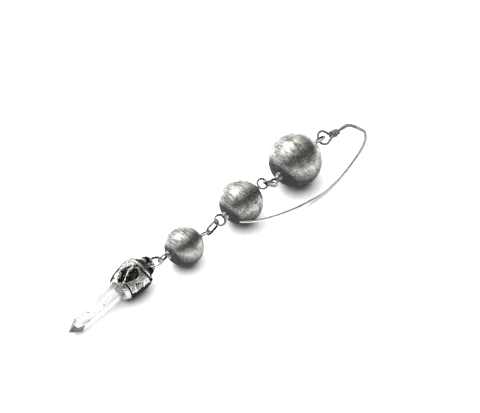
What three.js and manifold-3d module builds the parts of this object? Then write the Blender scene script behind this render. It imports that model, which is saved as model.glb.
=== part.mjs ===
// A long single drop earring: a marquise ear wire, three hollow silver balls that shrink down the
// drop, three jump rings between them, and a cast skull cap that holds a quartz point.
// Units are millimetres, +Z is up and z = 0 is the surface that the earring lies on. The drop runs
// along X: the ear wire is at +X and the crystal's tip at -X.
import * as THREE from 'three';
import { mergeVertices } from 'three/addons/utils/BufferGeometryUtils.js';
import Module from 'manifold-3d';

const wasm = await Module();
wasm.setup();

// ---------------------------------------------------------------- driving dimensions
const WIRE_RADIUS = 0.35; // eyelets and the two upper links
const EAR_WIRE_RADIUS = 0.4;
const LOWER_RING_WIRE_RADIUS = 0.4;

const SHELL_WALL = 0.45;
const SEAM_GAP = 0.04; // solder seam between the two halves of a ball
const FOOT_GAP = 0.04; // solder film under an eyelet's collar
const SHANK_RADIUS = 0.4;
const SHANK_HOLE_RADIUS = 0.46;
const SHANK_DEPTH = 1.2; // how far a shank reaches in from the ball's surface
const SHANK_OVERLAP = 0.3; // how far it reaches up into its collar
const COLLAR_FOOT_RADIUS = 1.25;
const COLLAR_NECK_RADIUS = 0.62;

// Where the bounding box's bottom centre sits, measured from under the medium ball's centre.
const ORIGIN = new THREE.Vector3(-8.79, -1.79, 0);

// A ball's axis and each eyelet's direction are a yaw about Z and a pitch above the surface, in
// degrees. An eyelet's roll is how far its ring leans over about that direction, its reach is the
// distance between the ball's centre and the ring's, and its radius is the wire's centre line.
const BALLS = [
  {
    name: 'big_ball',
    radius: 8,
    centre: [22.65, -0.37, 8],
    yaw: 1.5,
    pitch: 3.5,
    top: { yaw: 1.5, pitch: 3.5, roll: -40, reach: 11.05, radius: 1.5 },
    bottom: { yaw: 8, pitch: 1.1, roll: -20, reach: 11.15, radius: 1.35 },
  },
  {
    name: 'medium_ball',
    radius: 6.5,
    centre: [0, 0, 6.5],
    yaw: 1,
    pitch: 5.5,
    top: { yaw: 4, pitch: 1, roll: 33, reach: 9.65, radius: 1.6 },
    bottom: { yaw: 1, pitch: 5.5, roll: 30, reach: 9, radius: 1.65 },
  },
  {
    name: 'small_ball',
    radius: 5.75,
    centre: [-23.5, -0.22, 5.75],
    yaw: -3,
    pitch: -3,
    top: { yaw: -3, pitch: -3, roll: -42, reach: 8, radius: 1.5 },
    bottom: { yaw: -6, pitch: -2.5, roll: -76, reach: 7.9, radius: 1.45 },
  },
];

const UPPER_RING = { radius: 1.95, centre: [11.38, -0.86, 6.51], normal: [0.788, 0.398, 0.47] };
const OVAL_LINK = { endRadius: 1.3, halfLength: 2.6, roll: 84 };
const LOWER_RING = { radius: 2.3, slack: 0.98, along: [-0.9, 0.36, -0.12], roll: -17.4 };

// The ear wire lies in one plane: u runs from the loop to the tip, v towards the bow of the leg.
const HOOK_LOOP_CENTRE = [35, -0.25, 8.47];
const HOOK_NORMAL = [0.069, -0.649, 0.757];
const HOOK_U = [-0.99, -0.137, -0.027];
const LOOP_RADIUS = 2.05;
const LOOP_SIDES = [46, 78, 110, 145, 180, 215, 250, 282, 314]; // degrees round from the neck
const NECK_ANGLE = 162; // degrees, from u, of the wrapped neck
const NECK_START = 2.9; // distance from the loop's centre to the wrap
const WRAP_TURNS = 3;
const WRAP_PITCH = 0.86;
const WRAP_RADIUS = 2 * EAR_WIRE_RADIUS + 0.04;
const WRAP_POINTS_PER_TURN = 10;
const WRAP_LEAD = 0.6; // radians that the wrap starts before the loop's plane
const HOOK_ROUTE = [ // [u, v] from the wrap, over the top and down the leg to the tip
  [-7.1, 1.9],
  [-10.3, 2.8],
  [-12.8, 6.3],
  [-13.3, 7.6],
  [-12.1, 9.1],
  [-10.1, 10.1],
  [-6, 11],
  [1.95, 11.9],
  [8.6, 12],
  [13.5, 11.55],
  [20.05, 10],
  [25.3, 8.4],
  [33.3, 5.2],
  [37.8, 2.9],
  [42, 0],
];
const HOOK_STEPS = 240;

// The pendant hangs from its own drilled bail. Its local frame has +Z up the drop and +X the way
// the skull looks; z = 0 is the middle of the cap.
const PENDANT_DOWN = [-1, -0.01, -0.127];
const FACE_ROLL = 34; // degrees that the face leans over from the horizontal
const BAIL_Z = 6;
const BAIL_HOLE_RADIUS = 1.05;
const BAIL_HOLE_SHIFT = 0.1; // towards the middle of the ring that goes through it
const BAIL_HALF_THICKNESS = 1.05;
const BAIL_OUTLINE = [
  [-3.2, 4],
  [3.2, 4],
  [2.8, 6],
  [1.7, 7.8],
  [-2, 7.8],
  [-3, 6.2],
];
const CAP_PROFILE = [ // [radius, z]: dome, cheeks, collar and the socket's bore
  [0, 5.1],
  [1.6, 4.9],
  [3.2, 4.35],
  [4.4, 3.45],
  [4.95, 2],
  [5, 0.2],
  [4.72, -2],
  [4.35, -3.6],
  [3.8, -4.6],
  [3.4, -5.6],
  [2.75, -5.6],
  [2.75, -1.5],
  [0, -1.5],
];
const EYE = { at: [0.8, 5, -0.6], size: [1.45, 1.8, 2] };
const JAW = { at: [4.3, 2.8, -3.1], size: [1.6, 1.5, 1.2] };
const BROW = { radius: 4.7, z: 2.2, thickness: 0.3 };
const CRYSTAL = { topRadius: 2.6, shoulderRadius: 2.35, top: -2.15, shoulder: -20.8, tip: -25.2 };
const RESIN = { radius: 2.6, top: -1.55, bottom: -2.1 };

// ---------------------------------------------------------------- materials
const silver = { color: 0x9c9a94, metalness: 1, roughness: 0.45 };
const darkSilver = { color: 0x55575a, metalness: 1, roughness: 0.5 };
const castSilver = { color: 0x77756f, metalness: 1, roughness: 0.4 };
const quartz = { color: 0xf4f6f7, metalness: 0, roughness: 0.05, transparent: true, opacity: 0.5 };
const resin = { color: 0xe9e6dc, metalness: 0, roughness: 0.2 };

// ---------------------------------------------------------------- helpers
const vector = (values) => new THREE.Vector3(...values);
const radians = THREE.MathUtils.degToRad;

function directionOf({ yaw, pitch }) {
  const level = Math.cos(radians(pitch));
  const y = radians(yaw);
  return new THREE.Vector3(level * Math.cos(y), level * Math.sin(y), Math.sin(radians(pitch)));
}

// A frame with Z along an axis and Y square to it, leaning by roll from straight up towards -Y.
function rolledFrame(axis, roll, at) {
  const z = axis.clone().normalize();
  const lean = new THREE.Vector3(0, -Math.sin(radians(roll)), Math.cos(radians(roll)));
  const y = lean.addScaledVector(z, -lean.dot(z)).normalize();
  const x = new THREE.Vector3().crossVectors(y, z);
  return new THREE.Matrix4().makeBasis(x, y, z).setPosition(at);
}

function signedVolume(geometry) {
  const { index } = geometry;
  const corners = geometry.attributes.position;
  const [a, b, c] = [new THREE.Vector3(), new THREE.Vector3(), new THREE.Vector3()];
  let volume = 0;
  for (let i = 0; i < index.count; i += 3) {
    a.fromBufferAttribute(corners, index.getX(i));
    b.fromBufferAttribute(corners, index.getX(i + 1));
    c.fromBufferAttribute(corners, index.getX(i + 2));
    volume += a.dot(b.cross(c)) / 6;
  }
  return volume;
}

// One closed mesh with shared corners, no collapsed triangles and its faces pointing out.
function closed(source) {
  const bare = source.index ? source.toNonIndexed() : source.clone();
  for (const name of Object.keys(bare.attributes)) {
    if (name !== 'position') bare.deleteAttribute(name);
  }
  const merged = mergeVertices(bare, 1e-4);
  const kept = [];
  const { array } = merged.index;
  for (let i = 0; i < array.length; i += 3) {
    const [a, b, c] = [array[i], array[i + 1], array[i + 2]];
    if (a !== b && b !== c && c !== a) kept.push(a, b, c);
  }
  merged.setIndex(kept);
  if (signedVolume(merged) < 0) merged.setIndex(kept.reverse());
  return merged;
}

function toSolid(source) {
  const geometry = closed(source);
  return new wasm.Manifold(new wasm.Mesh({
    numProp: 3,
    vertProperties: new Float32Array(geometry.attributes.position.array),
    triVerts: new Uint32Array(geometry.index.array),
  }));
}

function toGeometry(solid) {
  const { vertProperties, triVerts } = solid.getMesh();
  const geometry = new THREE.BufferGeometry();
  geometry.setAttribute('position', new THREE.BufferAttribute(new Float32Array(vertProperties), 3));
  geometry.setIndex(Array.from(triVerts));
  geometry.computeVertexNormals();
  return geometry;
}

function joined(...pieces) {
  return pieces.map(toSolid).reduce((whole, piece) => whole.add(piece));
}

function roundSection(radius, sides = 8) {
  const corners = [];
  for (let i = 0; i < sides; i += 1) {
    const angle = (2 * Math.PI * i) / sides;
    corners.push(new THREE.Vector2(radius * Math.cos(angle), radius * Math.sin(angle)));
  }
  return new THREE.Shape(corners);
}

function cylinder(topRadius, bottomRadius, fromZ, toZ, sides = 16) {
  const geometry = new THREE.CylinderGeometry(topRadius, bottomRadius, toZ - fromZ, sides);
  return geometry.rotateX(Math.PI / 2).translate(0, 0, (fromZ + toZ) / 2);
}

function ellipsoid({ at, size }) {
  return new THREE.SphereGeometry(1, 14, 10).scale(...size).translate(...at);
}

const earring = new THREE.Group();
earring.position.copy(ORIGIN).negate();

function addPart(name, geometry, look, matrix = new THREE.Matrix4()) {
  const mesh = new THREE.Mesh(closed(geometry), new THREE.MeshStandardMaterial(look));
  mesh.geometry.computeVertexNormals();
  mesh.name = name;
  mesh.applyMatrix4(matrix);
  earring.add(mesh);
}

// ---------------------------------------------------------------- hollow balls
// A half shell, open at the seam, with its pole at +Z.
function halfShell(radius) {
  const inner = radius - SHELL_WALL;
  const profile = [];
  const steps = 7;
  for (let i = 0; i <= steps; i += 1) {
    const angle = ((Math.PI / 2) * i) / steps;
    profile.push([radius * Math.sin(angle), Math.max(radius * Math.cos(angle), SEAM_GAP / 2)]);
  }
  for (let i = steps; i >= 0; i -= 1) {
    const angle = ((Math.PI / 2) * i) / steps;
    profile.push([inner * Math.sin(angle), Math.max(inner * Math.cos(angle), SEAM_GAP / 2)]);
  }
  const points = profile.map(([r, z]) => new THREE.Vector2(r, z));
  return new THREE.LatheGeometry(points, 26).rotateX(Math.PI / 2);
}

// A wire ring on a solder collar, with a shank that goes through the ball's wall.
function eyelet(ballRadius, { reach, radius }) {
  const ring = new THREE.TorusGeometry(radius, WIRE_RADIUS, 8, 20).rotateX(Math.PI / 2);
  ring.translate(0, 0, reach);
  const ringFoot = reach - radius;
  const foot = ballRadius + FOOT_GAP;
  const collar = cylinder(COLLAR_NECK_RADIUS, COLLAR_FOOT_RADIUS, foot, ringFoot + WIRE_RADIUS / 2);
  const shank = cylinder(SHANK_RADIUS, SHANK_RADIUS, ballRadius - SHANK_DEPTH, foot + SHANK_OVERLAP, 12);
  return toGeometry(joined(ring, collar, shank));
}

function eyeletFrame(ball, end, sign) {
  const centre = vector(ball.centre);
  return rolledFrame(directionOf(end).multiplyScalar(sign), end.roll, centre);
}

// The middle of an eyelet's ring, at the point of its wire that is furthest from the ball.
function eyeletTip(ball, end, sign) {
  const out = directionOf(end).multiplyScalar(sign * (end.reach + end.radius));
  return vector(ball.centre).add(out);
}

function shellSolid(ball, sign, holes) {
  const frame = rolledFrame(directionOf(ball).multiplyScalar(sign), 0, vector(ball.centre));
  let solid = toSolid(halfShell(ball.radius).applyMatrix4(frame));
  for (const hole of holes) {
    const drill = cylinder(SHANK_HOLE_RADIUS, SHANK_HOLE_RADIUS, ball.radius - 2, ball.radius + 1);
    solid = solid.subtract(toSolid(drill.applyMatrix4(hole)));
  }
  return toGeometry(solid);
}

for (const ball of BALLS) {
  const top = eyeletFrame(ball, ball.top, 1);
  const bottom = eyeletFrame(ball, ball.bottom, -1);
  addPart(`${ball.name}_upper_shell`, shellSolid(ball, 1, [top]), silver);
  addPart(`${ball.name}_lower_shell`, shellSolid(ball, -1, [bottom]), silver);
  addPart(`${ball.name}_top_eyelet`, eyelet(ball.radius, ball.top), darkSilver, top);
  addPart(`${ball.name}_bottom_eyelet`, eyelet(ball.radius, ball.bottom), darkSilver, bottom);
}

// ---------------------------------------------------------------- links
const [, mediumBall, smallBall] = BALLS;

function upperRing() {
  const { radius, centre, normal } = UPPER_RING;
  const turn = new THREE.Quaternion();
  turn.setFromUnitVectors(new THREE.Vector3(0, 0, 1), vector(normal).normalize());
  const geometry = new THREE.TorusGeometry(radius, WIRE_RADIUS, 8, 26);
  const place = new THREE.Matrix4().makeRotationFromQuaternion(turn).setPosition(vector(centre));
  addPart('upper_jump_ring', geometry, darkSilver, place);
}

// A ring pulled out into an oval: its two halves move apart along Z and the sides stay straight.
function ovalLink() {
  const { endRadius, halfLength, roll } = OVAL_LINK;
  const segments = 24;
  const geometry = new THREE.TorusGeometry(endRadius, WIRE_RADIUS, 8, segments);
  geometry.rotateZ(Math.PI / segments).rotateX(Math.PI / 2);
  const corners = geometry.attributes.position;
  for (let i = 0; i < corners.count; i += 1) {
    const z = corners.getZ(i);
    corners.setZ(i, z + Math.sign(z) * (halfLength - endRadius));
  }
  const from = eyeletTip(mediumBall, mediumBall.bottom, -1);
  const to = eyeletTip(smallBall, smallBall.top, 1);
  const middle = from.clone().add(to).multiplyScalar(0.5);
  addPart('oval_link', geometry, darkSilver, rolledFrame(to.sub(from), roll, middle));
}

// The lower ring hangs on the small ball's bottom eyelet; its far side goes through the bail.
const lowerAlong = vector(LOWER_RING.along).normalize();
const lowerCentre = eyeletTip(smallBall, smallBall.bottom, -1)
  .addScaledVector(lowerAlong, LOWER_RING.radius - LOWER_RING.slack);
const lowerFrame = rolledFrame(lowerAlong, LOWER_RING.roll, lowerCentre);
const bailPoint = lowerCentre.clone().addScaledVector(lowerAlong, LOWER_RING.radius);

function lowerRing() {
  const geometry = new THREE.TorusGeometry(LOWER_RING.radius, LOWER_RING_WIRE_RADIUS, 8, 30);
  addPart('lower_jump_ring', geometry.rotateX(Math.PI / 2), castSilver, lowerFrame);
}

upperRing();
ovalLink();
lowerRing();

// ---------------------------------------------------------------- ear wire
function hookFrame() {
  const normal = vector(HOOK_NORMAL).normalize();
  const u = vector(HOOK_U);
  u.addScaledVector(normal, -u.dot(normal)).normalize();
  const v = new THREE.Vector3().crossVectors(normal, u);
  return new THREE.Matrix4().makeBasis(u, v, normal).setPosition(vector(HOOK_LOOP_CENTRE));
}

// One wire: from the tip up the leg, over the top, straight through the neck, round the loop and
// back to be wrapped round the neck.
function earWireRoute() {
  const neck = new THREE.Vector2(1, 0).rotateAround(new THREE.Vector2(), radians(NECK_ANGLE));
  const side = new THREE.Vector2(-neck.y, neck.x);
  const inPlane = (along, across, out = 0) => new THREE.Vector3(
    neck.x * along + side.x * across,
    neck.y * along + side.y * across,
    out,
  );
  const points = HOOK_ROUTE.map(([u, v]) => new THREE.Vector3(u, v, 0)).reverse();
  points.push(inPlane(NECK_START + WRAP_TURNS * WRAP_PITCH, 0), inPlane(NECK_START, 0));
  for (const degrees of LOOP_SIDES) {
    const angle = radians(degrees);
    const out = (WRAP_RADIUS * 0.5 * Math.max(0, degrees - 180)) / 180;
    points.push(inPlane(LOOP_RADIUS * Math.cos(angle), LOOP_RADIUS * Math.sin(angle), out));
  }
  const wrapPoints = WRAP_TURNS * WRAP_POINTS_PER_TURN;
  for (let i = 0; i <= wrapPoints; i += 1) {
    const turn = (2 * Math.PI * i) / WRAP_POINTS_PER_TURN;
    const along = NECK_START + (WRAP_PITCH * i) / WRAP_POINTS_PER_TURN;
    const across = -WRAP_RADIUS * Math.cos(turn - WRAP_LEAD);
    points.push(inPlane(along, across, -WRAP_RADIUS * Math.sin(turn - WRAP_LEAD)));
  }
  const curve = new THREE.CatmullRomCurve3(points, false, 'centripetal');
  curve.arcLengthDivisions = 1600;
  return curve;
}

const earWire = new THREE.ExtrudeGeometry(roundSection(EAR_WIRE_RADIUS), {
  steps: HOOK_STEPS,
  bevelEnabled: false,
  extrudePath: earWireRoute(),
});
addPart('ear_wire', earWire, silver, hookFrame());

// ---------------------------------------------------------------- pendant
function pendantFrame() {
  const up = vector(PENDANT_DOWN).normalize().negate();
  const face = new THREE.Vector3(0, Math.cos(radians(FACE_ROLL)), Math.sin(radians(FACE_ROLL)));
  const x = face.addScaledVector(up, -face.dot(up)).normalize();
  const y = new THREE.Vector3().crossVectors(up, x);
  const at = bailPoint.clone().addScaledVector(up, -BAIL_Z);
  return new THREE.Matrix4().makeBasis(x, y, up).setPosition(at);
}

const pendant = pendantFrame();

// The way the lower ring's wire runs through the bail, in the pendant's own frame.
const bailAcross = new THREE.Vector3().setFromMatrixColumn(lowerFrame, 0)
  .transformDirection(pendant.clone().invert());

function bailDrill() {
  const drill = cylinder(BAIL_HOLE_RADIUS, BAIL_HOLE_RADIUS, -4, 4, 20);
  const turn = new THREE.Quaternion();
  turn.setFromUnitVectors(new THREE.Vector3(0, 0, 1), bailAcross);
  const at = bailPoint.clone().addScaledVector(lowerAlong, -BAIL_HOLE_SHIFT);
  at.applyMatrix4(pendant.clone().invert());
  return drill.applyQuaternion(turn).translate(at.x, at.y, at.z);
}

// A flat tab that stands square to the ring's wire.
function bailTab() {
  const outline = new THREE.Shape(BAIL_OUTLINE.map(([x, z]) => new THREE.Vector2(x, z)));
  const tab = new THREE.ExtrudeGeometry(outline, {
    depth: 2 * BAIL_HALF_THICKNESS,
    bevelEnabled: false,
  });
  tab.translate(0, 0, -BAIL_HALF_THICKNESS).rotateX(Math.PI / 2);
  return tab.rotateZ(Math.atan(-bailAcross.x / bailAcross.y));
}

function skullCap() {
  const profile = CAP_PROFILE.map(([r, z]) => new THREE.Vector2(r, z));
  const body = new THREE.LatheGeometry(profile, 20).rotateX(Math.PI / 2);
  const brow = new THREE.TorusGeometry(BROW.radius, BROW.thickness, 6, 20).translate(0, 0, BROW.z);
  let cap = joined(body, bailTab(), brow);
  for (const side of [1, -1]) {
    for (const hollow of [EYE, JAW]) {
      const [x, y, z] = hollow.at;
      cap = cap.subtract(toSolid(ellipsoid({ at: [x, side * y, z], size: hollow.size })));
    }
  }
  cap = cap.subtract(toSolid(bailDrill()));
  return toGeometry(cap);
}

function crystalPoint() {
  const { topRadius, shoulderRadius, top, shoulder, tip } = CRYSTAL;
  const profile = [[0, top], [topRadius, top], [shoulderRadius, shoulder], [0, tip]];
  const points = profile.map(([r, z]) => new THREE.Vector2(r, z));
  return new THREE.LatheGeometry(points, 6).rotateX(Math.PI / 2).rotateZ(Math.PI / 2);
}

addPart('skull_cap', skullCap(), castSilver, pendant);
addPart('crystal_point', crystalPoint(), quartz, pendant);
const resinBed = cylinder(RESIN.radius, RESIN.radius, RESIN.bottom, RESIN.top, 16);
addPart('resin_bed', resinBed, resin, pendant);

export default earring;
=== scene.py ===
# Looks for a long silver drop earring: a wrapped ear wire, three hollow balls, wire links, and a
# cast skull cap that holds a quartz point. It is built in metres, in the CAD model's frame.
from math import cos, pi, radians, sin

import bmesh
import bpy
import numpy as np
from mathutils import Matrix, Vector, noise


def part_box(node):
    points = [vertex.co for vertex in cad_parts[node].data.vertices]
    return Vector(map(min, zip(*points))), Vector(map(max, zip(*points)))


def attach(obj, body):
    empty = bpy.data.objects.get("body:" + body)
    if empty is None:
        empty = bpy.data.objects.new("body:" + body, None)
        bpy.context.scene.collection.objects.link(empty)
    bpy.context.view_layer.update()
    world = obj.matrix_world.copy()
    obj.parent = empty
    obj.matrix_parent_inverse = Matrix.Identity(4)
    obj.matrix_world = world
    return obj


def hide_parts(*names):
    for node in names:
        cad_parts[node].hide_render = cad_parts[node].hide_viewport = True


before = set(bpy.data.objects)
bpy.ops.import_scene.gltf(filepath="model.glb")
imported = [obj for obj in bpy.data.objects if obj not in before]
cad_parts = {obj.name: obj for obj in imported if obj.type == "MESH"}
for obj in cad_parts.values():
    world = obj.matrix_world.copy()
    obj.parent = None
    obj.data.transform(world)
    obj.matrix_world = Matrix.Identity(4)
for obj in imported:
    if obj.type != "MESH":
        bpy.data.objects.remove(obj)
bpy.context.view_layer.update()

MM = 0.001
WELD_DISTANCE = 0.002 * MM


# ------------------------------------------------------------------ places from the frame
def node_box(*nodes):
    """The box round some CAD nodes."""
    boxes = [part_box(node) for node in nodes]
    low = Vector(map(min, *[low for low, high in boxes]))
    return low, Vector(map(max, *[high for low, high in boxes]))


def ball_sphere(name):
    """The centre and radius of a ball, from the box round its two shells."""
    low, high = node_box(f"{name}_upper_shell", f"{name}_lower_shell")
    return (low + high) / 2, (high.z - low.z) / 2


def direction(yaw, pitch):
    """A unit vector from two angles in degrees: yaw from +X towards +Y, and pitch up."""
    yaw, pitch = radians(yaw), radians(pitch)
    return Vector((cos(pitch) * cos(yaw), cos(pitch) * sin(yaw), sin(pitch)))


def rolled_frame(axis, roll, at):
    """Z along the axis, and Y square to it, leaning by roll from straight up towards -Y."""
    z = axis.normalized()
    lean = Vector((0, -sin(radians(roll)), cos(radians(roll))))
    y = (lean - lean.dot(z) * z).normalized()
    frame_at = Matrix((y.cross(z), y, z)).transposed().to_4x4()
    frame_at.translation = at
    return frame_at


# ------------------------------------------------------------------ mesh helpers
def smooth_path(points, steps, closed=False):
    """A centripetal Catmull-Rom curve through the points, as evenly spaced points."""
    p = np.array([tuple(q) for q in points], float)
    if closed:
        p = np.vstack([p[-1], p, p[0], p[1]])
    else:
        p = np.vstack([2 * p[0] - p[1], p, 2 * p[-1] - p[-2]])
    fine = []
    for i in range(1, len(p) - 2):
        p0, p1, p2, p3 = p[i - 1:i + 3]
        a, b, c = [max(np.linalg.norm(q), 1e-9) ** 0.5 for q in (p1 - p0, p2 - p1, p3 - p2)]
        m1 = b * ((p1 - p0) / a - (p2 - p0) / (a + b) + (p2 - p1) / b)
        m2 = b * ((p2 - p1) / b - (p3 - p1) / (b + c) + (p3 - p2) / c)
        t = np.linspace(0, 1, 24, endpoint=False)[:, None]
        fine.append((2 * t**3 - 3 * t**2 + 1) * p1 + (t**3 - 2 * t**2 + t) * m1
                    + (3 * t**2 - 2 * t**3) * p2 + (t**3 - t**2) * m2)
    fine = np.vstack(fine + [p[-2][None]])
    length = np.concatenate([[0], np.cumsum(np.linalg.norm(np.diff(fine, axis=0), axis=1))])
    wanted = np.linspace(0, length[-1], steps + 1)
    even = np.stack([np.interp(wanted, length, fine[:, k]) for k in range(3)], axis=1)
    return even[:-1] if closed else even


def grid_faces(rows, columns, close_rows=False):
    """Quads over a grid whose columns wrap round."""
    faces = []
    for i in range(rows if close_rows else rows - 1):
        for j in range(columns):
            a, b = i * columns + j, i * columns + (j + 1) % columns
            c, d = ((i + 1) % rows) * columns + (j + 1) % columns, ((i + 1) % rows) * columns + j
            faces.append((a, b, c, d))
    return faces


WIRE_SIDES = 20


def tube(path, half_across, half_up, up, closed=False):
    """A swept wire. half_across and half_up are its half sizes, one number or one per point."""
    path = np.asarray(path, float)
    count = len(path)
    across = np.broadcast_to(half_across, (count,))
    raised = np.broadcast_to(half_up, (count,))
    if closed:
        tangents = np.roll(path, -1, axis=0) - np.roll(path, 1, axis=0)
    else:
        tangents = np.gradient(path, axis=0)
    tangents /= np.linalg.norm(tangents, axis=1)[:, None]
    v = np.array(up, float)
    verts = []
    for i in range(count):
        v = v - v.dot(tangents[i]) * tangents[i]
        v /= np.linalg.norm(v)
        side = np.cross(v, tangents[i])
        for j in range(WIRE_SIDES):
            angle = 2 * pi * j / WIRE_SIDES
            verts.append(path[i] + across[i] * cos(angle) * side + raised[i] * sin(angle) * v)
    faces = grid_faces(count, WIRE_SIDES, closed)
    if not closed:
        faces.append(tuple(reversed(range(WIRE_SIDES))))
        faces.append(tuple(range((count - 1) * WIRE_SIDES, count * WIRE_SIDES)))
    return np.array(verts), faces


def lathe(profile, sides):
    """Turned about Z from [radius, z] points. make_mesh welds the rings that are on the axis."""
    verts = []
    for r, z in profile:
        r = max(r, 1e-7)
        verts += [(r * cos(2 * pi * j / sides), r * sin(2 * pi * j / sides), z)
                  for j in range(sides)]
    return np.array(verts), grid_faces(len(profile), sides)


def placed(shape, matrix):
    """Verts and faces moved by a matrix."""
    verts, faces = shape
    m = np.array(matrix)
    return np.asarray(verts) @ m[:3, :3].T + m[:3, 3], faces


def merged(*shapes):
    """Several verts and faces lists as one."""
    verts, faces, start = [], [], 0
    for v, f in shapes:
        verts.append(np.asarray(v))
        faces += [tuple(i + start for i in face) for face in f]
        start += len(v)
    return np.vstack(verts), faces


def wobble(verts, size, scale, seed=0.0):
    """Verts pushed about by smooth noise: size is how far, scale is the noise's frequency."""
    out = np.array(verts)
    for i, co in enumerate(verts):
        at = Vector(co) * scale + Vector((seed, 2 * seed, -seed))
        out[i] += size * np.array(noise.noise_vector(at))
    return out


def make_mesh(name, shape, material, wear_and_painted_shade=None, smooth=True):
    """A mesh object. The optional value per vertex runs from 0 to 1: 0 in recesses and where shade
    is painted, 1 on worn high places.
    """
    verts, faces = shape
    mesh = bpy.data.meshes.new(name)
    mesh.from_pydata([tuple(v) for v in verts], [], faces)
    if wear_and_painted_shade is not None:
        layer = mesh.attributes.new("wear_and_painted_shade", "FLOAT", "POINT")
        layer.data.foreach_set("value", np.asarray(wear_and_painted_shade, np.float32))
    bm = bmesh.new()
    bm.from_mesh(mesh)
    bmesh.ops.remove_doubles(bm, verts=bm.verts, dist=WELD_DISTANCE)
    bmesh.ops.recalc_face_normals(bm, faces=bm.faces)
    bm.to_mesh(mesh)
    bm.free()
    mesh.polygons.foreach_set("use_smooth", [smooth] * len(mesh.polygons))
    mesh.materials.append(material)
    made = bpy.data.objects.new(name, mesh)
    bpy.context.scene.collection.objects.link(made)
    return made


def add_worn(made, rule):
    """Stores the wear and painted shade value that a rule gives for each vertex."""
    mesh = made.data
    co = np.empty(len(mesh.vertices) * 3)
    mesh.vertices.foreach_get("co", co)
    layer = mesh.attributes.new("wear_and_painted_shade", "FLOAT", "POINT")
    layer.data.foreach_set("value", np.asarray(rule(co.reshape(-1, 3)), np.float32))


def fuse(made, voxel, rounds):
    """One skin round everything in the mesh, with its inner corners eased as solder fills them."""
    skin = made.modifiers.new("skin", "REMESH")
    skin.mode = "VOXEL"
    skin.voxel_size = voxel
    skin.use_smooth_shade = True
    ease = made.modifiers.new("ease", "SMOOTH")
    ease.factor = 0.5
    ease.iterations = rounds
    shown = made.evaluated_get(bpy.context.evaluated_depsgraph_get())
    mesh = bpy.data.meshes.new_from_object(shown)
    made.modifiers.clear()
    made.data = mesh


def piece(made, body, slot, *nodes):
    """Rides on a body and stands for these CAD nodes. The slot is not used."""
    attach(made, body)
    if nodes:
        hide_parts(*nodes)


# ------------------------------------------------------------------ materials
BUMP_DEPTH = 0.03 * MM
BRUSHING = (0.1, 0.47, 0.84, 1.21, 1.58)  # the turns of the strokes that show as tone
SCRATCHING = (0.3, 0.9, 1.5)  # the turns of the finer strokes that only show in the bump
STROKE_SQUEEZE = 0.09
MATT = 0.85  # the roughness where the patina and the painted shade are


def new_material(name):
    """A new node material: itself, its nodes and links, and its main shader."""
    material = bpy.data.materials.new(name)
    material.use_nodes = True
    nodes = material.node_tree.nodes
    return material, nodes, material.node_tree.links, nodes["Principled BSDF"]


def noise_node(nodes, links, coordinates, scale, detail, stretch=None):
    """A noise texture; stretch is a (rotation, scale) that draws it out into strokes."""
    source = coordinates.outputs["Object"]
    if stretch:
        mapping = nodes.new("ShaderNodeMapping")
        mapping.inputs["Rotation"].default_value = stretch[0]
        mapping.inputs["Scale"].default_value = stretch[1]
        links.new(source, mapping.inputs["Vector"])
        source = mapping.outputs["Vector"]
    made = nodes.new("ShaderNodeTexNoise")
    made.inputs["Scale"].default_value = scale
    made.inputs["Detail"].default_value = detail
    links.new(source, made.inputs["Vector"])
    return made


def ramp_node(nodes, links, source, stops):
    """A colour ramp: stops are (place, colour or grey)."""
    ramp = nodes.new("ShaderNodeValToRGB")
    elements = ramp.color_ramp.elements
    while len(elements) < len(stops):
        elements.new(0.5)
    for element, (place, colour) in zip(elements, stops):
        element.position = place
        if isinstance(colour, (int, float)):
            colour = (colour, colour, colour)
        element.color = (*colour, 1)
    links.new(source, ramp.inputs["Fac"])
    return ramp


def mix_node(nodes, links, factor, a, b):
    """A mix of two colours. The factor is a number or a socket."""
    mix = nodes.new("ShaderNodeMix")
    mix.data_type = "RGBA"
    if isinstance(factor, float):
        mix.inputs[0].default_value = factor
    else:
        links.new(factor, mix.inputs[0])
    links.new(a, mix.inputs[6])
    links.new(b, mix.inputs[7])
    return mix.outputs[2]


def bump_node(nodes, links, shader, height, strength):
    """Gives the shader a surface that rises and falls with the height."""
    bump = nodes.new("ShaderNodeBump")
    bump.inputs["Strength"].default_value = strength
    bump.inputs["Distance"].default_value = BUMP_DEPTH
    links.new(height, bump.inputs["Height"])
    links.new(bump.outputs["Normal"], shader.inputs["Normal"])


def crossed_strokes(nodes, links, coordinates, scale, turns, low, high):
    """Fine strokes laid across each other in several directions, as a grey value."""
    height = None
    for count, turn in enumerate(turns, 1):
        strokes = noise_node(nodes, links, coordinates, scale, 3,
                             ((0.35 * turn, turn, turn * 1.7), (1, STROKE_SQUEEZE, 1)))
        lines = ramp_node(nodes, links, strokes.outputs["Fac"], [(low, 0.0), (high, 1.0)])
        if height is None:
            height = lines.outputs["Color"]
        else:
            height = mix_node(nodes, links, 1 / count, height, lines.outputs["Color"])
    return height


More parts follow.
